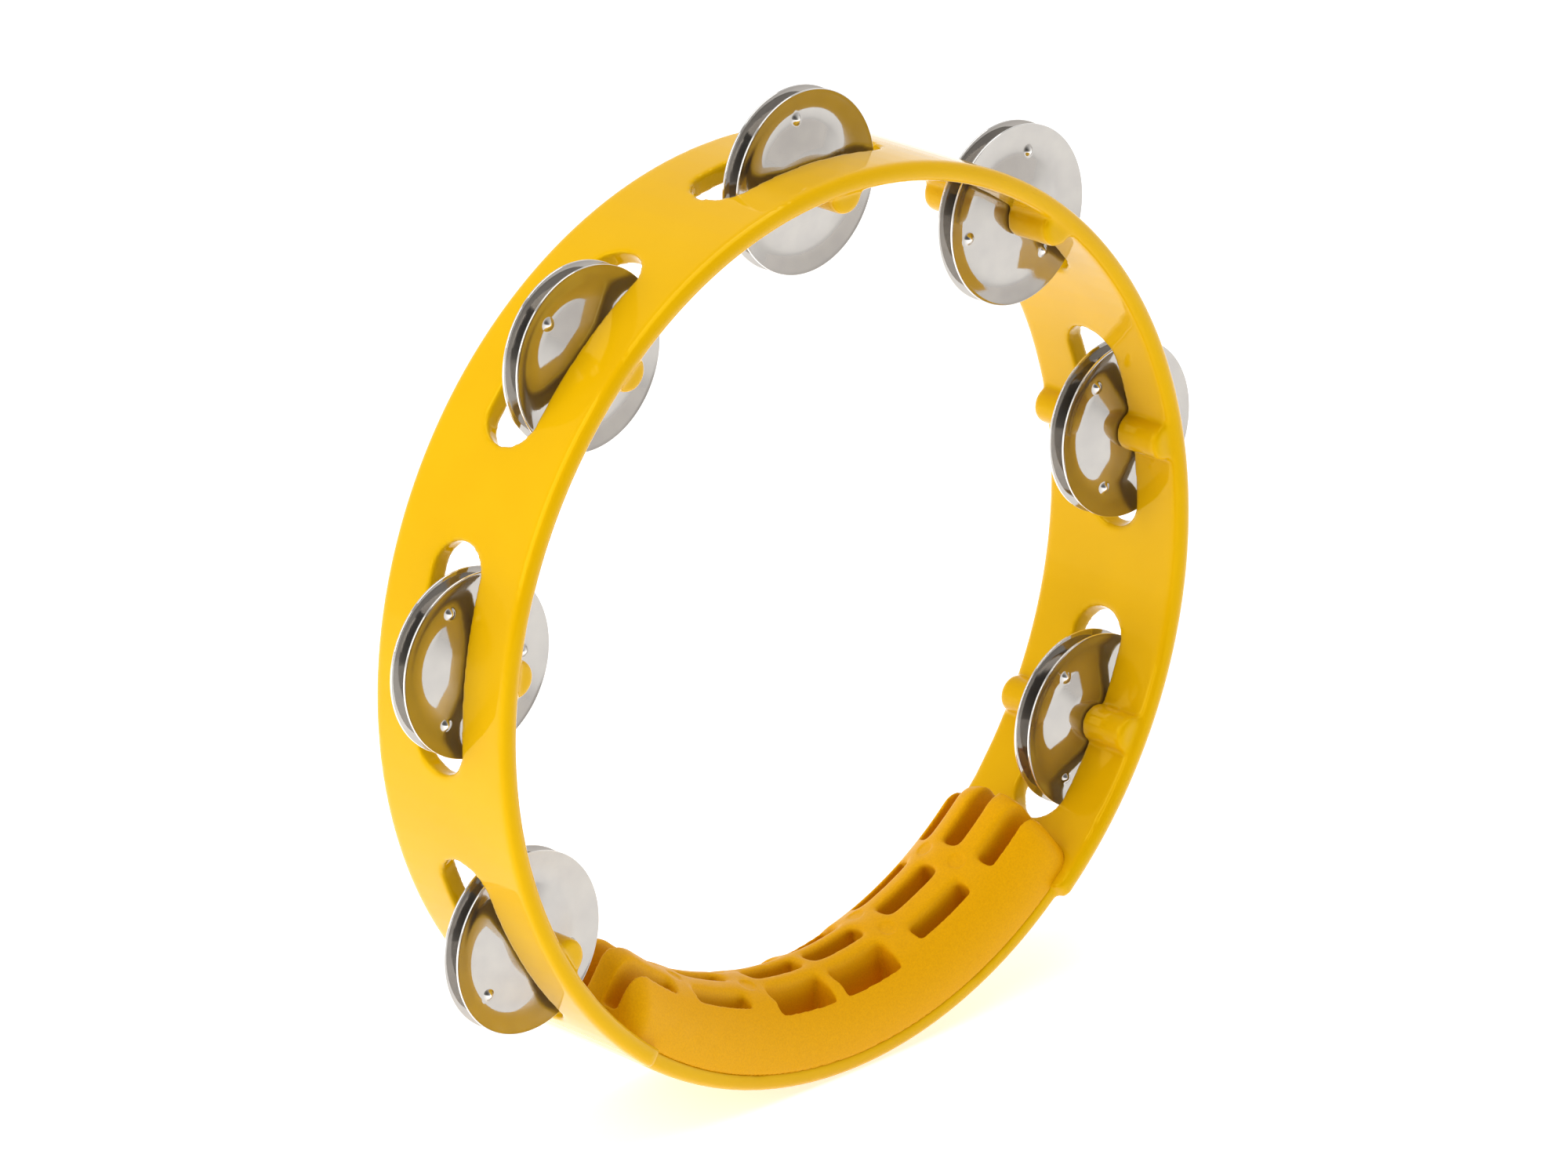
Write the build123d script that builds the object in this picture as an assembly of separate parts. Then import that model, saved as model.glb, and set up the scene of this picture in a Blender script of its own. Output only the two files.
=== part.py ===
from build123d import *
import math
import os

# Hand-held tambourine: a moulded ring with seven slots, a half-round hand grip inside its
# lowest part, and a pair of loose metal jingles on a pin in each slot.
# Row frame, millimetres: the ring's axis runs along Y, +Z is up, and the origin is in the
# middle of the hand grip's section. Station angles are measured from +Z towards +X.

# ---------------------------------------------------------------- driving dimensions
RING_OUTER_RADIUS = 101.6
WALL = 4.4
BAND_HALF_WIDTH = 20.0
BAND_EDGE_RADIUS = 1.8

NARROW_HALF_WIDTH = 17.2        # half width of the band where the hand holds it
NARROW_HALF_ANGLE = 37.6        # degrees each side of the lowest point
STEP_CORNER_RADIUS = 2.4        # rounded corner of the wider band at each step

STATION_COUNT = 7
STATION_PITCH = 40.0            # degrees between neighbouring jingle stations
PIN_CIRCLE_RADIUS = 97.0

SLOT_LENGTH = 49.2
SLOT_HALF_WIDTH = 6.8

BOSS_RADIUS = 4.3
BOSS_END = 18.7                 # distance of a boss's outer end from the ring's mid-plane
BOSS_END_RADIUS = 1.2
BORE_RADIUS = 1.25
BORE_END = 15.6

PIN_RADIUS = 1.2
PIN_END_PLAY = 0.2
PIN_END_CHAMFER = 0.2

JINGLE_RADIUS = 19.9
JINGLE_SHEET = 0.45             # thickness of the sheet metal
JINGLE_HOLE_RADIUS = 1.5
JINGLE_HUB_RADIUS = 6.0         # outer edge of the flat hub
JINGLE_VALLEY_RADIUS = 14.6     # where the sloping dish meets the flared flange
JINGLE_RISE = 0.75              # height of the hub above the rim
JINGLE_FLARE = 1.7              # height of the rim above the valley
FRONT_JINGLE_PLAY = 0.1         # gap between the front jingle's hub and the front boss
PAIR_DEPTH = 5.95               # from the front hub's face to the back hub's face

DIMPLE_COUNT = 3
DIMPLE_CIRCLE_RADIUS = 13.8
DIMPLE_BASE_RADIUS = 1.5
DIMPLE_HEIGHT = 0.7

GRIP_BOND_GAP = 0.05            # thickness of the bond line under the grip
GRIP_HALF_WIDTH = 17.0
GRIP_HEIGHT = 16.8
GRIP_HALF_ANGLE = 44.3          # degrees from the lowest point to each end, at the base
GRIP_END_LEAN = 7.0             # degrees by which each end leans back towards the middle
GRIP_END_BULGE = 38.0           # radius of each end as seen along the ring's radius
GRIP_END_RADIUS = 5.0
GRIP_FLOOR = 3.0                # material left under the pockets

# Pocket columns, in degrees each side of the lowest point, and pocket rows, as distances
# from the mid-plane. The two middle columns have thinner ridges than the others.
MIDDLE_COLUMN = (1.1, 12.0)
OUTER_COLUMN = (17.3, 28.8)
END_COLUMN = (33.6, 50.0)
CENTRE_ROW_HALF_WIDTH = 2.2
WIDE_SIDE_ROW = (5.8, 12.6)
SLIM_SIDE_ROW = (7.3, 10.9)

MARK_ANGLES = (15.0, 31.4)      # shallow round marks where ridges cross the wide ribs
MARK_OFFSET = 4.9
MARK_RADIUS = 2.2
MARK_DEPTH = 0.3

# How far each loose jingle is turned on its pin, front and back, in degrees.
FRONT_SPINS = (10, 65, 5, 5, 20, 115, 30)
BACK_SPINS = (65, 10, 90, 25, 100, 40, 15)

# ---------------------------------------------------------------- derived sizes
RING_INNER_RADIUS = RING_OUTER_RADIUS - WALL
GRIP_BASE_RADIUS = RING_INNER_RADIUS - GRIP_BOND_GAP
GRIP_CREST_RADIUS = GRIP_BASE_RADIUS - GRIP_HEIGHT
RING_CENTRE_Z = (RING_OUTER_RADIUS + GRIP_CREST_RADIUS) / 2
RING_CENTRE = Location((0, 0, RING_CENTRE_Z))
CROWN_DROP = GRIP_HEIGHT * (1 - math.sqrt(1 - (MARK_OFFSET / GRIP_HALF_WIDTH) ** 2))
JINGLE_SLOPE = (JINGLE_RISE + JINGLE_FLARE) / (JINGLE_VALLEY_RADIUS - JINGLE_HUB_RADIUS)
DIMPLE_FOOT = JINGLE_RISE - JINGLE_SLOPE * (DIMPLE_CIRCLE_RADIUS - JINGLE_HUB_RADIUS)
DIMPLE_BALL_RADIUS = (DIMPLE_BASE_RADIUS ** 2 + DIMPLE_HEIGHT ** 2) / (2 * DIMPLE_HEIGHT)

QUARTER_TURN = 90
HALF_TURN = 180
FULL_TURN = 360
LOWEST = HALF_TURN              # station angle of the lowest point
HALFWAY = 0.5                   # along an edge
MARGIN = 10.0                   # overshoot of every cutting tool


def around_ring(angle):
    """Place local +Z along the ring's radius at this station angle, with local Y kept."""
    return RING_CENTRE * Rotation(0, angle, 0)


def station_angles():
    """Angles of the jingle stations, the fourth of them at the top."""
    middle = (STATION_COUNT - 1) / 2
    return [(index - middle) * STATION_PITCH for index in range(STATION_COUNT)]


def ring_sector(section, from_angle, to_angle):
    """Revolve a section drawn in the YZ plane (width along Y, radius along Z)."""
    solid = revolve(section, Axis.Y, to_angle - from_angle)
    return around_ring(from_angle) * solid


def band_section(half_width):
    """Cross-section of the band, at the top of a ring centred on the origin."""
    place = Plane.YZ * Location((0, RING_OUTER_RADIUS - WALL / 2))
    return place * RectangleRounded(2 * half_width, WALL, BAND_EDGE_RADIUS)


def block_section(low_radius, high_radius, low_width, high_width):
    """A plain rectangle in the same plane, given by its radii and its widths."""
    centre = Location(((low_width + high_width) / 2, (low_radius + high_radius) / 2))
    return Plane.YZ * centre * Rectangle(high_width - low_width, high_radius - low_radius)


def through_wall(angle, outline):
    """Extrude an outline along the radius at this angle, right through the band's wall."""
    prism = extrude(outline, WALL + 2 * MARGIN)
    return around_ring(angle) * Location((0, 0, RING_INNER_RADIUS - MARGIN)) * prism


# ---------------------------------------------------------------- frame
def narrowed_band():
    """The full ring, narrower on both sides where the hand holds it."""
    from_angle = LOWEST - NARROW_HALF_ANGLE
    to_angle = LOWEST + NARROW_HALF_ANGLE
    wide = ring_sector(band_section(BAND_HALF_WIDTH), to_angle, from_angle + FULL_TURN)
    narrow = ring_sector(band_section(NARROW_HALF_WIDTH), from_angle, to_angle)
    trims = [
        step_corner_trim(angle, side, end)
        for angle, end in ((from_angle, 1), (to_angle, -1))
        for side in (-1, 1)
    ]
    return wide - trims + narrow


def step_corner_trim(angle, side, end):
    """Radial prism that rounds one corner of the wider band at a step."""
    size = STEP_CORNER_RADIUS
    square_centre = Location((-end * size / 2, side * (BAND_HALF_WIDTH - size / 2)))
    circle_centre = Location((-end * size, side * (BAND_HALF_WIDTH - size)))
    outline = square_centre * Rectangle(size, size) - circle_centre * Circle(size)
    return through_wall(angle, outline)


def slot_tool(angle):
    """Round-ended prism through the wall at one station."""
    return through_wall(angle, SlotOverall(SLOT_LENGTH, 2 * SLOT_HALF_WIDTH))


def along_pin(angle, from_y, to_y, radius):
    """Cylinder on a station's pin axis between two distances along Y."""
    start = around_ring(angle) * Location((0, from_y, PIN_CIRCLE_RADIUS))
    return start * Rotation(-QUARTER_TURN, 0, 0) * extrude(Circle(radius), to_y - from_y)


def boss(angle, side):
    """Round boss from the slot's edge to just inside the band's edge."""
    from_y, to_y = sorted((side * SLOT_HALF_WIDTH, side * BOSS_END))
    solid = along_pin(angle, from_y, to_y, BOSS_RADIUS)
    outer_end = solid.edges().filter_by(GeomType.CIRCLE).sort_by(Axis.Y)[-1 if side > 0 else 0]
    return fillet(outer_end, BOSS_END_RADIUS)


def make_frame():
    """Band, slots, bosses and pin bores in one moulding."""
    band = narrowed_band()
    band -= [slot_tool(angle) for angle in station_angles()]
    band += [boss(angle, side) for angle in station_angles() for side in (-1, 1)]
    bores = [along_pin(angle, -BORE_END, BORE_END, BORE_RADIUS) for angle in station_angles()]
    return band - bores


# ---------------------------------------------------------------- grip
def grip_section():
    """Half-round section that stands inwards from the band's inner wall."""
    ellipse = Ellipse(GRIP_HALF_WIDTH, GRIP_HEIGHT)
    cut = Location((0, GRIP_HEIGHT / 2)) * Rectangle(2 * GRIP_HALF_WIDTH + MARGIN, GRIP_HEIGHT)
    return Plane.YZ * Location((0, GRIP_BASE_RADIUS)) * (ellipse - cut)


def pocket(column, row):
    """One pocket between two angles and two widths, both measured from the lowest point."""
    section = block_section(GRIP_CREST_RADIUS - MARGIN, GRIP_BASE_RADIUS - GRIP_FLOOR, *row)
    return ring_sector(section, LOWEST + column[0], LOWEST + column[1])


def pocket_rows(column):
    """Three rows of pockets across the grip in one column."""
    side_row = WIDE_SIDE_ROW if column == MIDDLE_COLUMN else SLIM_SIDE_ROW
    centre_row = (-CENTRE_ROW_HALF_WIDTH, CENTRE_ROW_HALF_WIDTH)
    return [centre_row, side_row, (-side_row[1], -side_row[0])]


def mark_tool(angle, offset):
    """Shallow round mark pressed into the crown."""
    place = around_ring(LOWEST + angle) * Location((0, offset, GRIP_CREST_RADIUS - MARGIN))
    return place * extrude(Circle(MARK_RADIUS), MARGIN + CROWN_DROP + MARK_DEPTH)


def grip_end_trim(sign):
    """Everything beyond one bulging, slightly leaning end of the grip."""
    width = 2 * GRIP_HALF_WIDTH + MARGIN
    block = Rectangle(2 * MARGIN, width)
    bulge = Location((-sign * GRIP_END_BULGE, 0)) * Circle(GRIP_END_BULGE)
    lean = Rotation(0, -sign * GRIP_END_LEAN, 0)
    end = around_ring(LOWEST + sign * GRIP_HALF_ANGLE) * Location((0, 0, GRIP_BASE_RADIUS))
    return end * lean * extrude(block - bulge, GRIP_HEIGHT + MARGIN, both=True)


def is_grip_end_edge(edge):
    """True for the two arched edges between the crown and the grip's ends."""
    middle = edge.position_at(HALFWAY)
    return math.hypot(middle.X, middle.Z - RING_CENTRE_Z) < GRIP_CREST_RADIUS + GRIP_END_RADIUS


def make_grip():
    """Half-round grip with six columns of pockets, the end ones open at the ends."""
    reach = GRIP_HALF_ANGLE + GRIP_END_LEAN / 2
    body = ring_sector(grip_section(), LOWEST - reach, LOWEST + reach)
    body -= [grip_end_trim(sign) for sign in (-1, 1)]
    body = fillet(body.edges().filter_by(is_grip_end_edge), GRIP_END_RADIUS)
    for near, far in (MIDDLE_COLUMN, OUTER_COLUMN, END_COLUMN):
        for column in ((near, far), (-far, -near)):
            body -= [pocket(column, row) for row in pocket_rows((near, far))]
    body -= [
        mark_tool(sign * angle, side * MARK_OFFSET)
        for angle in MARK_ANGLES
        for sign in (-1, 1)
        for side in (-1, 1)
    ]
    return body


# ---------------------------------------------------------------- pins and jingles
def make_pin(angle):
    """Plain steel pin trapped in its two bosses, free to turn."""
    half_length = BORE_END - PIN_END_PLAY
    solid = along_pin(angle, -half_length, half_length, PIN_RADIUS)
    return chamfer(solid.edges().filter_by(GeomType.CIRCLE), PIN_END_CHAMFER)


def dish_line(from_radius, depth):
    """Points along a jingle's section, this deep under its outer face; radius, then height."""
    line = [
        (from_radius, JINGLE_RISE),
        (JINGLE_HUB_RADIUS, JINGLE_RISE),
        (JINGLE_VALLEY_RADIUS, -JINGLE_FLARE),
        (JINGLE_RADIUS, 0),
    ]
    return [(radius, height - depth) for radius, height in line]


def dished_disc():
    """Plain jingle without its dimples, its axis on Y and its rim's outer face at zero."""
    outer = dish_line(JINGLE_HOLE_RADIUS, 0)
    inner = dish_line(JINGLE_HOLE_RADIUS, JINGLE_SHEET)
    return revolve(Polygon(*outer, *reversed(inner), align=None), Axis.Y)


def space_under_disc():
    """Everything below the middle of the sheet, out to the rim."""
    middle = dish_line(0, JINGLE_SHEET / 2)
    return revolve(Polygon(*middle, (JINGLE_RADIUS, -MARGIN), (0, -MARGIN), align=None), Axis.Y)


def dimple(turn):
    """Small raised dome and its hollow, as two balls around one centre."""
    centre_height = DIMPLE_FOOT + DIMPLE_HEIGHT - DIMPLE_BALL_RADIUS
    centre = Rotation(0, turn, 0) * Location((0, centre_height, DIMPLE_CIRCLE_RADIUS))
    dome = centre * Sphere(DIMPLE_BALL_RADIUS)
    hollow = centre * Sphere(DIMPLE_BALL_RADIUS - JINGLE_SHEET)
    return dome, hollow


def jingle(spin):
    """Dished sheet-metal disc with a flared flange and three pressed dimples."""
    disc = dished_disc()
    under = space_under_disc()
    for number in range(DIMPLE_COUNT):
        dome, hollow = dimple(spin + number * FULL_TURN / DIMPLE_COUNT)
        disc = disc + (dome - under) - hollow
    return disc


def make_jingle(angle, spin, is_front):
    """Place a jingle on its pin: the front one's hub faces -Y, the back one's faces +Y."""
    front_hub = -SLOT_HALF_WIDTH + FRONT_JINGLE_PLAY
    if is_front:
        rim = front_hub + JINGLE_RISE
        turned = Rotation(0, 0, HALF_TURN)
    else:
        rim = front_hub + PAIR_DEPTH - JINGLE_RISE
        turned = Location()
    return around_ring(angle) * Location((0, rim, PIN_CIRCLE_RADIUS)) * turned * jingle(spin)


# ---------------------------------------------------------------- parts
def main():
    os.makedirs("parts", exist_ok=True)
    parts = {"frame": make_frame(), "grip": make_grip()}
    for index, angle in enumerate(station_angles()):
        number = index + 1
        parts[f"pin_{number}"] = make_pin(angle)
        parts[f"jingle_{number}_front"] = make_jingle(angle, FRONT_SPINS[index], True)
        parts[f"jingle_{number}_back"] = make_jingle(angle, BACK_SPINS[index], False)
    for name, shape in parts.items():
        export_step(shape, f"parts/{name}.step")


main()
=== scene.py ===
import math

import bpy
import numpy as np
from mathutils import Matrix, Vector


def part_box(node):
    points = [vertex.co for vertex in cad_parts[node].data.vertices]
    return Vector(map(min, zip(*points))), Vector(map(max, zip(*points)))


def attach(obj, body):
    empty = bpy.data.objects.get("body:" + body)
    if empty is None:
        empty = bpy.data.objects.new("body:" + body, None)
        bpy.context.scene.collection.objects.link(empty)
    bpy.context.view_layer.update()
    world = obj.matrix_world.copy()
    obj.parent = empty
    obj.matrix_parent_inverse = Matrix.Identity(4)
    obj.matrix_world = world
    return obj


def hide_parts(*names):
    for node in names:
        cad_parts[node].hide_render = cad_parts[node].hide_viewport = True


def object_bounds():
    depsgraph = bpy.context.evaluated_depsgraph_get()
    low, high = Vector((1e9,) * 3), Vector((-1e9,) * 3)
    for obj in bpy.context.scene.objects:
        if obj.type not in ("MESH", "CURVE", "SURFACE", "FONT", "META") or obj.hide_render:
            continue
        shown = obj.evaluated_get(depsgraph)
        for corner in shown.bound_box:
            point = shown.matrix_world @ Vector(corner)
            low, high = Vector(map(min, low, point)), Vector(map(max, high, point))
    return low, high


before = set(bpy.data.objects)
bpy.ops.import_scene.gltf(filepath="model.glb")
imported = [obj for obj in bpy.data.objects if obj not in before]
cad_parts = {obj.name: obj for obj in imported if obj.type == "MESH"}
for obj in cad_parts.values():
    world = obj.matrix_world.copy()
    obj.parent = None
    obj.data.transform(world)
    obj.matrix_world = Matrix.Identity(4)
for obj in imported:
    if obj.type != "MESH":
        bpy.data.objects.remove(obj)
CAD_LOW, CAD_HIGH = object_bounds()

# The looks of a hand-held tambourine, in metres, in the row frame: the ring's axis runs along
# Y and its grip is at the bottom. Station angles are measured from +Z towards +X.
MM = 0.001

# ---------------------------------------------------------------- places read from the frame
FRAME_LOW, FRAME_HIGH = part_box("frame")
RING_CENTRE = (FRAME_LOW + FRAME_HIGH) / 2
STATIONS = sorted(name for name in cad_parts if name.startswith("pin_"))

# ---------------------------------------------------------------- sizes of the visual pieces
FRAME_VOXEL = 0.5 * MM
FRAME_SOFTENING = 6
GRIP_VOXEL = 0.4 * MM
GRIP_SOFTENING = 60
SOFTENING_STRENGTH = 0.5
BAND_FLAT_HALF_WIDTH = 15.4 * MM    # where the band's rounded edge starts beside the grip
BAND_EDGE_RADIUS = 1.8 * MM
MARK_ANGLES = (15.0, 31.4)          # degrees from the grip's middle to its round marks
MARK_OFFSET = 4.9 * MM
MARK_RADIUS = 2.1 * MM
MARK_EDGE = 0.5 * MM
MARK_DEPTH = 0.3 * MM
MARK_REACH = 3.0 * MM               # below the crown's crest
RIDGE_REACH = (8.0 * MM, 10.0 * MM)   # from the mid-plane, where round ridges turn crisp
SHARP_DEPTH = 2.5 * MM              # below the crown, where the pockets' corners stay crisp
DEEP_SOFTNESS = 0.03                # how much of the rounding is left deep in a pocket
OUTER_SOFTNESS = 0.1                # and beyond the ridges

JINGLE_SHEET = 0.45 * MM
JINGLE_HOLE_RADIUS = 1.5 * MM
JINGLE_HUB_RADIUS = 6.0 * MM
JINGLE_VALLEY_RADIUS = 14.6 * MM
JINGLE_FLARE = 1.7 * MM             # height of the rim above the valley
JINGLE_BEND_WIDTH = 2.0 * MM        # how gently one slope runs into the next
JINGLE_EDGE_ROUND = 0.12 * MM
JINGLE_OUTER_RADIUS = 19.9 * MM
HIGHLIGHT_ATTRIBUTE = "painted_highlight"                 # point attribute, one on the rims and dimples, where the plate gets a painted highlight
CONE_ROWS = 26
DIMPLE_ROWS = 20
FLANGE_ROWS = 8
EDGE_ROWS = 4
BEND_SAMPLES = 21
SPOKES_PER_DIMPLE = 72
SPOKE_CROWDING = 0.75               # nought for even spokes, towards one for crowded dimples
DIMPLE_COUNT = 3
DIMPLE_CIRCLE_RADIUS = 13.8 * MM
DIMPLE_BASE_RADIUS = 1.6 * MM
DIMPLE_HEIGHT = 0.9 * MM
DIMPLE_START = DIMPLE_CIRCLE_RADIUS - DIMPLE_BASE_RADIUS
DIMPLE_END = DIMPLE_CIRCLE_RADIUS + DIMPLE_BASE_RADIUS
FRONT_SPINS = (10, 65, 5, 5, 20, 115, 30)     # degrees each front jingle is turned on its pin
BACK_SPINS = (65, 10, 90, 25, 100, 40, 15)

# ---------------------------------------------------------------- colours, as linear RGB
BAND_TONES = ((0.72, 0.40, 0.001), (0.75, 0.425, 0.002))
BAND_TINT = (1.0, 0.8, 0.05)
GRIP_TONES = ((0.74, 0.35, 0.001), (0.84, 0.42, 0.002))
GRIP_TINT = (1.0, 0.7, 0.1)
PLATE_TONES = ((0.44, 0.42, 0.40), (0.48, 0.46, 0.43))
# lighter plate colour of the painted highlight on the rims and dimples
PAINTED_HIGHLIGHT_TONE = (0.86, 0.85, 0.83)
STEEL_TONES = ((0.42, 0.42, 0.43), (0.56, 0.56, 0.57))
FLOOR_TONE = (0.85, 0.85, 0.85)
WHITE = (1, 1, 1)

# ---------------------------------------------------------------- stage, lights and camera
FLOOR_SIZE = 8.0
FLOOR_GAP = 0.2 * MM
FLOOR_GLOW = 0.6
WORLD_LOW = (1.1, 1.07, 1.04)       # at the horizon
WORLD_HIGH = (0.3, 0.3, 0.3)        # overhead
WORLD_STRENGTH = 1.0
WORLD_DIMMEST = 0.0
DIM_SIDE = (-40, 30)                # azimuth and elevation of the dimmest place
DIM_REACH = 0.55                    # cosine of the angle from there where the dimming starts
LAMP_SIZE = 1.4
KEY_LAMP = {"azimuth": -95, "elevation": 35, "distance": 1.8, "watts": 17}
TOP_LAMP = {"azimuth": 0, "elevation": 85, "distance": 1.6, "watts": 15}
CAMERA_AZIMUTH = -43.63
CAMERA_ELEVATION = 21.17
CAMERA_ROLL = -1.19
CAMERA_DISTANCE = 1.8115
CAMERA_ASIDE = -2.33 * MM
CAMERA_RAISED = 4.71 * MM
CAMERA_LENS = 196.0
CAMERA_SENSOR = 36.0


# ---------------------------------------------------------------- shader helpers
def new_material(name):
    """An empty node material with its surface shader and its output joined."""
    material = bpy.data.materials.new(name)
    material.use_nodes = True
    tree = material.node_tree
    tree.nodes.clear()
    shader = tree.nodes.new("ShaderNodeBsdfPrincipled")
    output = tree.nodes.new("ShaderNodeOutputMaterial")
    tree.links.new(shader.outputs["BSDF"], output.inputs["Surface"])
    return material, tree, shader


def add_node(tree, kind, **values):
    """A new node with some of its properties and inputs set by name."""
    node = tree.nodes.new(kind)
    for key, value in values.items():
        if hasattr(node, key):
            setattr(node, key, value)
        else:
            node.inputs[key.replace("_", " ")].default_value = value
    return node


def noise(tree, scale, detail=2.0, stretch=(1, 1, 1)):
    """Noise fixed to the object's own coordinates; scale is in features per metre."""
    place = add_node(tree, "ShaderNodeTexCoord")
    mapping = add_node(tree, "ShaderNodeMapping", Scale=stretch)
    texture = add_node(tree, "ShaderNodeTexNoise", Scale=scale, Detail=detail)
    tree.links.new(place.outputs["Object"], mapping.inputs["Vector"])
    tree.links.new(mapping.outputs["Vector"], texture.inputs["Vector"])
    return texture.outputs["Fac"]


def spread(tree, value, low, high, from_low=0.3, from_high=0.7):
    """A value moved from one range to another."""
    node = add_node(
        tree, "ShaderNodeMapRange", From_Min=from_low, From_Max=from_high, To_Min=low, To_Max=high
    )
    tree.links.new(value, node.inputs["Value"])
    return node.outputs["Result"]


def mixed_colour(tree, factor, first, second):
    """A colour between two others."""
    node = add_node(tree, "ShaderNodeMix", data_type="RGBA")
    node.inputs["A"].default_value = (*first, 1)
    node.inputs["B"].default_value = (*second, 1)
    tree.links.new(factor, node.inputs["Factor"])
    return node.outputs["Result"]


def bump(tree, height, distance, below=None):
    """A bump from a height, on top of another bump if there is one."""
    node = add_node(tree, "ShaderNodeBump", Distance=distance)
    tree.links.new(height, node.inputs["Height"])
    if below is not None:
        tree.links.new(below, node.inputs["Normal"])
    return node.outputs["Normal"]


# ---------------------------------------------------------------- materials
def band_plastic():
    """Glossy moulded yellow plastic with faint flow marks."""
    material, tree, shader = new_material("band_plastic")
    shader.inputs["IOR"].default_value = 1.5
    shader.inputs["Specular Tint"].default_value = (*BAND_TINT, 1)
    flow = spread(tree, noise(tree, scale=45), low=0, high=1)
    gloss = spread(tree, noise(tree, scale=160, detail=3), low=0.05, high=0.09)
    waves = bump(tree, noise(tree, scale=90, detail=1), distance=0.02 * MM)
    grain = bump(tree, noise(tree, scale=1800), distance=0.002 * MM, below=waves)
    tree.links.new(mixed_colour(tree, flow, *BAND_TONES), shader.inputs["Base Color"])
    tree.links.new(gloss, shader.inputs["Roughness"])
    tree.links.new(grain, shader.inputs["Normal"])
    return material


def grip_plastic():
    """Satin yellow plastic with a fine spark-eroded grain."""
    material, tree, shader = new_material("grip_plastic")
    shader.inputs["IOR"].default_value = 1.4
    shader.inputs["Specular Tint"].default_value = (*GRIP_TINT, 1)
    sparks = noise(tree, scale=2600, detail=3)
    tone = mixed_colour(tree, spread(tree, sparks, low=0, high=1), *GRIP_TONES)
    gloss = spread(tree, noise(tree, scale=300, detail=3), low=0.42, high=0.52)
    waves = bump(tree, noise(tree, scale=120), distance=0.03 * MM)
    grain = bump(tree, sparks, distance=0.04 * MM, below=waves)
    tree.links.new(tone, shader.inputs["Base Color"])
    tree.links.new(gloss, shader.inputs["Roughness"])
    tree.links.new(grain, shader.inputs["Normal"])
    return material


def jingle_plate():
    """Nickel plate on pressed steel, with light pitting and a painted highlight, a lighter plate
    colour, where it stands proud.
    """
    material, tree, shader = new_material("jingle_plate")
    shader.inputs["Metallic"].default_value = 0.93
    clouds = spread(tree, noise(tree, scale=220, detail=4), low=0, high=1)
    # painted highlight: the plate colour is lightened towards the highlight tone on the rims and
    # dimples
    highlighted = add_node(tree, "ShaderNodeMix", data_type="RGBA")
    highlighted.inputs["B"].default_value = (*PAINTED_HIGHLIGHT_TONE, 1)
    painted_highlight = add_node(tree, "ShaderNodeAttribute", attribute_name=HIGHLIGHT_ATTRIBUTE)
    gloss = spread(tree, noise(tree, scale=500, detail=4), low=0.05, high=0.09)
    waves = bump(tree, noise(tree, scale=160, detail=1), distance=0.010 * MM)
    pits = bump(tree, noise(tree, scale=2200, detail=4), distance=0.003 * MM, below=waves)
    tree.links.new(painted_highlight.outputs["Fac"], highlighted.inputs["Factor"])
    tree.links.new(mixed_colour(tree, clouds, *PLATE_TONES), highlighted.inputs["A"])
    tree.links.new(highlighted.outputs["Result"], shader.inputs["Base Color"])
    tree.links.new(gloss, shader.inputs["Roughness"])
    tree.links.new(pits, shader.inputs["Normal"])
    return material


def pin_steel():
    """Plain drawn steel, its fine lines along the pin."""
    material, tree, shader = new_material("pin_steel")
    shader.inputs["Metallic"].default_value = 1.0
    lines = noise(tree, scale=2500, stretch=(1, 0.02, 1))
    gloss = spread(tree, lines, low=0.25, high=0.42)
    tree.links.new(mixed_colour(tree, lines, *STEEL_TONES), shader.inputs["Base Color"])
    tree.links.new(gloss, shader.inputs["Roughness"])
    tree.links.new(bump(tree, lines, distance=0.006 * MM), shader.inputs["Normal"])
    return material


def floor_sheet():
    """Translucent white sheet of a light table, lit from below."""
    material, _, shader = new_material("floor_sheet")
    shader.inputs["Base Color"].default_value = (*FLOOR_TONE, 1)
    shader.inputs["Roughness"].default_value = 0.6
    shader.inputs["Emission Color"].default_value = (*WHITE, 1)
    shader.inputs["Emission Strength"].default_value = FLOOR_GLOW
    return material


MATERIALS = {
    "band_plastic": band_plastic(),
    "grip_plastic": grip_plastic(),
    "jingle_plate": jingle_plate(),
    "pin_steel": pin_steel(),
}


# ---------------------------------------------------------------- mesh helpers
def add_piece(name, mesh, body, slot, *nodes):
    """Link a finished mesh as a piece that rides a body and stands for its CAD nodes."""
    piece = bpy.data.objects.new(name, mesh)
    bpy.context.scene.collection.objects.link(piece)
    mesh.materials.clear()
    mesh.materials.append(MATERIALS[slot])
    mesh.shade_smooth()
    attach(piece, body)
    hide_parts(*nodes)
    return piece


def remeshed(source, voxel):
    """An even quad skin over a copy of an object's mesh."""
    work = bpy.data.objects.new("remesh_work", source.data.copy())
    bpy.context.scene.collection.objects.link(work)
    skin = work.modifiers.new("skin", "REMESH")
    skin.mode = "VOXEL"
    skin.voxel_size = voxel
    graph = bpy.context.evaluated_depsgraph_get()
    mesh = bpy.data.meshes.new_from_object(work.evaluated_get(graph))
    bpy.data.objects.remove(work)
    return mesh


def point_array(mesh):
    """All points of a mesh as rows of x, y and z."""
    points = np.empty(len(mesh.vertices) * 3)
    mesh.vertices.foreach_get("co", points)
    return points.reshape(-1, 3)


def even_softness(points):
    """The same rounding for every point."""
    return np.ones((len(points), 1))


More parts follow.
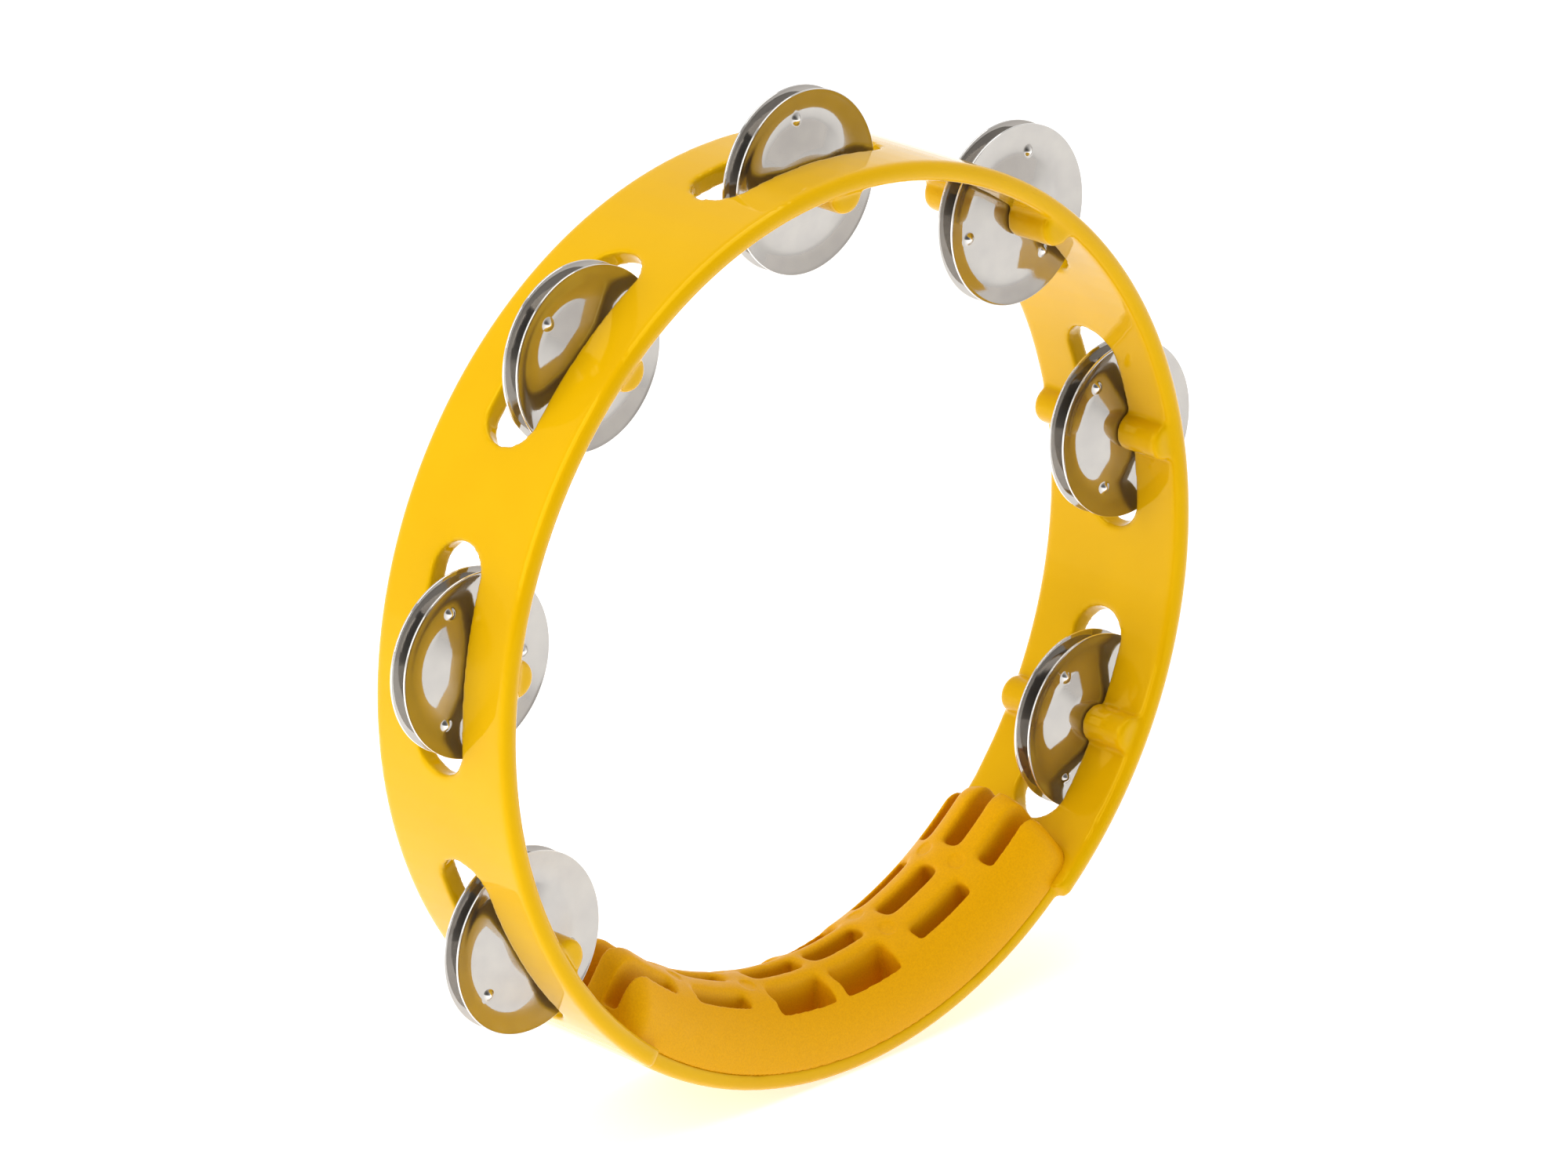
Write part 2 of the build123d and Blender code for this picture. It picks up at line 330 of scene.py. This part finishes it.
def relax(mesh, passes, softness):
    """Round every edge a little by moving each point towards the middle of its neighbours."""
    count = len(mesh.vertices)
    points = point_array(mesh)
    strength = SOFTENING_STRENGTH * softness(points)
    edges = np.empty(len(mesh.edges) * 2, np.int64)
    mesh.edges.foreach_get("vertices", edges)
    first, second = edges.reshape(-1, 2).T
    neighbours = np.bincount(edges, minlength=count)[:, None]
    for _ in range(passes):
        total = np.zeros_like(points)
        for axis in range(3):
            total[:, axis] += np.bincount(first, points[second, axis], count)
            total[:, axis] += np.bincount(second, points[first, axis], count)
        points += strength * (total / neighbours - points)
    mesh.vertices.foreach_set("co", points.ravel())
    mesh.update()


def soft_copy(node, voxel, passes, slot, softness):
    """A moulded piece in a CAD node's place, with all its edges softly rounded."""
    mesh = remeshed(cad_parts[node], voxel)
    mesh.name = node + "_moulding"
    relax(mesh, passes, softness)
    return add_piece(node + "_moulding", mesh, "frame", slot, node)


def seat_grip(mesh):
    """Carry the grip's two long edges down onto the rounded edges of the band below them."""
    points = point_array(mesh)
    outward = points[:, [0, 2]] - np.array((RING_CENTRE.x, RING_CENTRE.z))
    radius = np.hypot(outward[:, 0], outward[:, 1])
    over_edge = np.clip((np.abs(points[:, 1]) - BAND_FLAT_HALF_WIDTH) / BAND_EDGE_RADIUS, 0, 1)
    near_base = np.clip((radius - radius.max()) / BAND_EDGE_RADIUS + 1, 0, 1)
    move = BAND_EDGE_RADIUS * (1 - np.sqrt(1 - over_edge ** 2)) * near_base
    move += MARK_DEPTH * grip_marks(points, outward)
    points[:, [0, 2]] += outward * (move / radius)[:, None]
    mesh.vertices.foreach_set("co", points.ravel())
    mesh.update()


def grip_marks(points, outward):
    """One inside the round marks on the grip's crown and nought elsewhere."""
    radius = np.hypot(outward[:, 0], outward[:, 1])
    angle = np.degrees(np.arctan2(outward[:, 0], -outward[:, 1]))
    inside = np.zeros_like(radius)
    for mark_angle in MARK_ANGLES:
        along = radius * np.radians(np.abs(angle) - mark_angle)
        away = np.hypot(along, np.abs(points[:, 1]) - MARK_OFFSET)
        inside += np.clip((MARK_RADIUS - away) / MARK_EDGE, 0, 1)
    return inside * (radius < radius.min() + MARK_REACH)


def grip_softness(points):
    """Full near the grip's crown, and little deep in its pockets and along its base."""
    low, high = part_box("grip")
    half_width = (high.y - low.y) / 2
    radius = np.hypot(points[:, 0] - RING_CENTRE.x, points[:, 2] - RING_CENTRE.z)
    base = radius.max()
    height = base - radius.min()
    across = np.clip(np.abs(points[:, 1]) / half_width, 0, 1)
    depth = radius - (base - height * np.sqrt(1 - across ** 2))
    near_crown = np.clip(1 - depth / SHARP_DEPTH, DEEP_SOFTNESS, 1)
    on_ridges = np.interp(np.abs(points[:, 1]), RIDGE_REACH, (1, OUTER_SOFTNESS))
    off_base = np.clip((base - radius) / SHARP_DEPTH, 0, 1)
    return (near_crown * on_ridges * off_base)[:, None]


# ---------------------------------------------------------------- jingles
def dish_height(radius, rise):
    """Height of the outer face over the rim: flat hub, cone down to a valley, flared flange."""
    beyond_rim = 2 * JINGLE_OUTER_RADIUS
    corners = (0, JINGLE_HUB_RADIUS, JINGLE_VALLEY_RADIUS, beyond_rim)
    flare_slope = JINGLE_FLARE / (JINGLE_OUTER_RADIUS - JINGLE_VALLEY_RADIUS)
    flare = flare_slope * (beyond_rim - JINGLE_VALLEY_RADIUS)
    levels = (rise, rise, -JINGLE_FLARE, flare - JINGLE_FLARE)
    shifts = np.linspace(-JINGLE_BEND_WIDTH, JINGLE_BEND_WIDTH, BEND_SAMPLES)
    return np.mean([np.interp(radius + shift, corners, levels) for shift in shifts], axis=0)


def jingle_profile(rise):
    """Radii and heights round one half section: outer face, rim, inner face and pin hole."""
    radius = JINGLE_OUTER_RADIUS
    rounding = JINGLE_EDGE_ROUND
    across = np.concatenate([
        np.linspace(JINGLE_HOLE_RADIUS + rounding, DIMPLE_START, CONE_ROWS),
        np.linspace(DIMPLE_START, DIMPLE_END, DIMPLE_ROWS)[1:],
        np.linspace(DIMPLE_END, radius - 2 * rounding, FLANGE_ROWS)[1:],
    ])
    height = dish_height(across, rise)
    turns = np.linspace(0, math.pi / 2, EDGE_ROWS)
    corner_out = radius - rounding + rounding * np.sin(turns)
    corner_up = rounding * (np.cos(turns) - 1)
    hole_out = JINGLE_HOLE_RADIUS + rounding - rounding * np.sin(turns)
    inner = -JINGLE_SHEET
    radii = np.concatenate([
        across,
        corner_out,
        corner_out[::-1],
        across[::-1],
        hole_out,
        hole_out[::-1],
    ])
    heights = np.concatenate([
        height,
        corner_up,
        inner - corner_up[::-1],
        height[::-1] + inner,
        rise + inner - corner_up,
        rise + corner_up[::-1],
    ])
    return radii, heights


def spoke_angles(spin):
    """Angles round the disc, closer together where the dimples are."""
    third = math.tau / DIMPLE_COUNT
    even = np.linspace(-0.5, 0.5, SPOKES_PER_DIMPLE, endpoint=False)
    local = third * (even - SPOKE_CROWDING * np.sin(math.tau * even) / math.tau)
    starts = [math.radians(spin) + number * third for number in range(DIMPLE_COUNT)]
    return np.concatenate([start + local for start in starts])


def dimple_height(x, z, spin):
    """How far the dimples raise each point of the disc."""
    height = np.zeros_like(x)
    for number in range(DIMPLE_COUNT):
        turn = math.radians(spin) + number * math.tau / DIMPLE_COUNT
        aside = x - DIMPLE_CIRCLE_RADIUS * math.sin(turn)
        above = z - DIMPLE_CIRCLE_RADIUS * math.cos(turn)
        away = np.hypot(aside, above) / DIMPLE_BASE_RADIUS
        height += DIMPLE_HEIGHT * np.clip(1 - away ** 2, 0, 1) ** 2
    return height


def ring_grid(rows, columns):
    """Quads of a grid whose two directions both close on themselves."""
    row, column = np.meshgrid(np.arange(rows), np.arange(columns), indexing="ij")
    next_row = (row + 1) % rows
    next_column = (column + 1) % columns
    corners = [
        row * columns + column,
        row * columns + next_column,
        next_row * columns + next_column,
        next_row * columns + column,
    ]
    return np.stack(corners, axis=-1).reshape(-1, 4)


def make_jingle(node, outward, spin):
    """Dished disc in a CAD jingle's place; outward is -1 if its hub faces -Y and 1 if +Y."""
    low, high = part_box(node)
    centre = (low + high) / 2
    rise = high.y - low.y - JINGLE_FLARE - JINGLE_SHEET
    hub_face = high.y if outward > 0 else low.y
    radii, heights = jingle_profile(rise)
    angles = spoke_angles(spin)
    x = np.outer(radii, np.sin(angles))
    z = np.outer(radii, np.cos(angles))
    dimples = dimple_height(x, z, spin)
    y = hub_face + outward * (heights[:, None] - rise + dimples)
    points = np.stack([x + centre.x, y, z + centre.z], axis=-1).reshape(-1, 3)
    faces = ring_grid(len(radii), len(angles))
    if outward < 0:
        faces = faces[:, ::-1]
    mesh = bpy.data.meshes.new(node + "_disc")
    mesh.from_pydata(points.tolist(), [], faces.tolist())
    # painted highlight on the rim edge and the dimple tops, carried by a point attribute
    on_rim = radii[:, None] > JINGLE_OUTER_RADIUS - JINGLE_EDGE_ROUND
    painted_highlight = np.maximum(on_rim, np.clip(dimples / DIMPLE_HEIGHT, 0, 1))
    mesh.attributes.new(HIGHLIGHT_ATTRIBUTE, "FLOAT", "POINT").data.foreach_set("value", painted_highlight.ravel())
    return add_piece(node + "_disc", mesh, node, "jingle_plate", node)


def station_angle(pin):
    """Degrees from the top of the ring to a pin, clockwise as seen from the front."""
    low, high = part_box(pin)
    middle = (low + high) / 2 - RING_CENTRE
    return math.degrees(math.atan2(middle.x, middle.z))


def make_jingles():
    """A front and a back jingle at each pin."""
    for pin, front_spin, back_spin in zip(STATIONS, FRONT_SPINS, BACK_SPINS):
        angle = station_angle(pin)
        jingle = pin.replace("pin", "jingle")
        make_jingle(jingle + "_front", -1, angle - front_spin)
        make_jingle(jingle + "_back", 1, angle + back_spin)


# ---------------------------------------------------------------- stage
def make_floor():
    """Wide floor just under the ring."""
    half = FLOOR_SIZE / 2
    corners = [(-half, -half, 0), (half, -half, 0), (half, half, 0), (-half, half, 0)]
    mesh = bpy.data.meshes.new("floor")
    mesh.from_pydata(corners, [], [(0, 1, 2, 3)])
    mesh.materials.append(floor_sheet())
    floor = bpy.data.objects.new("floor", mesh)
    floor.location = (RING_CENTRE.x, RING_CENTRE.y, CAD_LOW.z - FLOOR_GAP)
    bpy.context.scene.collection.objects.link(floor)


def direction(azimuth, elevation):
    """Unit vector from the ring towards a viewer at these angles, in degrees."""
    turn = math.radians(azimuth)
    lift = math.radians(elevation)
    level = math.cos(lift)
    return Vector((math.sin(turn) * level, -math.cos(turn) * level, math.sin(lift)))


def make_lamp(name, azimuth, elevation, distance, watts):
    """Soft square lamp that faces the ring's centre."""
    light = bpy.data.lights.new(name, "AREA")
    light.shape = "SQUARE"
    light.size = LAMP_SIZE
    light.energy = watts
    lamp = bpy.data.objects.new(name, light)
    away = direction(azimuth, elevation)
    lamp.location = RING_CENTRE + away * distance
    lamp.rotation_mode = "QUATERNION"
    lamp.rotation_quaternion = away.to_track_quat("Z", "Y")
    bpy.context.scene.collection.objects.link(lamp)


def make_world():
    """White surroundings, brighter at the horizon than overhead and dim round one side."""
    world = bpy.data.worlds.new("studio")
    world.use_nodes = True
    tree = world.node_tree
    tree.nodes.clear()
    place = tree.nodes.new("ShaderNodeTexCoord")
    split = tree.nodes.new("ShaderNodeSeparateXYZ")
    tree.links.new(place.outputs["Generated"], split.inputs["Vector"])
    height = spread(tree, split.outputs["Z"], low=0, high=1, from_low=0, from_high=1)
    facing = add_node(tree, "ShaderNodeVectorMath", operation="DOT_PRODUCT")
    facing.inputs[1].default_value = direction(*DIM_SIDE)
    tree.links.new(place.outputs["Generated"], facing.inputs[0])
    cosine = facing.outputs["Value"]
    strength = spread(tree, cosine, WORLD_STRENGTH, WORLD_DIMMEST, from_low=DIM_REACH, from_high=1)
    background = tree.nodes.new("ShaderNodeBackground")
    output = tree.nodes.new("ShaderNodeOutputWorld")
    tree.links.new(mixed_colour(tree, height, WORLD_LOW, WORLD_HIGH), background.inputs["Color"])
    tree.links.new(strength, background.inputs["Strength"])
    tree.links.new(background.outputs["Background"], output.inputs["Surface"])
    bpy.context.scene.world = world


def make_camera():
    """Camera at the viewing angle of a person who looks down at the ring's front left."""
    data = bpy.data.cameras.new("camera")
    data.lens = CAMERA_LENS
    data.sensor_width = CAMERA_SENSOR
    camera = bpy.data.objects.new("camera", data)
    back = direction(CAMERA_AZIMUTH, CAMERA_ELEVATION)
    level_right = Vector((0, 0, 1)).cross(back).normalized()
    right = Matrix.Rotation(math.radians(CAMERA_ROLL), 3, back) @ level_right
    up = back.cross(right)
    target = RING_CENTRE + right * CAMERA_ASIDE + up * CAMERA_RAISED
    axes = Matrix((right, up, back)).transposed().to_4x4()
    camera.matrix_world = Matrix.Translation(target + back * CAMERA_DISTANCE) @ axes
    bpy.context.scene.collection.objects.link(camera)
    bpy.context.scene.camera = camera


# ---------------------------------------------------------------- the scene
soft_copy("frame", FRAME_VOXEL, FRAME_SOFTENING, "band_plastic", even_softness)
grip_piece = soft_copy("grip", GRIP_VOXEL, GRIP_SOFTENING, "grip_plastic", grip_softness)
seat_grip(grip_piece.data)
make_jingles()
for pin_name in STATIONS:
    pin_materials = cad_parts[pin_name].data.materials
    pin_materials.clear()
    pin_materials.append(MATERIALS["pin_steel"])
make_floor()
make_world()
make_lamp("key_lamp", **KEY_LAMP)
make_lamp("top_lamp", **TOP_LAMP)
make_camera()
bpy.context.scene.view_settings.view_transform = "Standard"
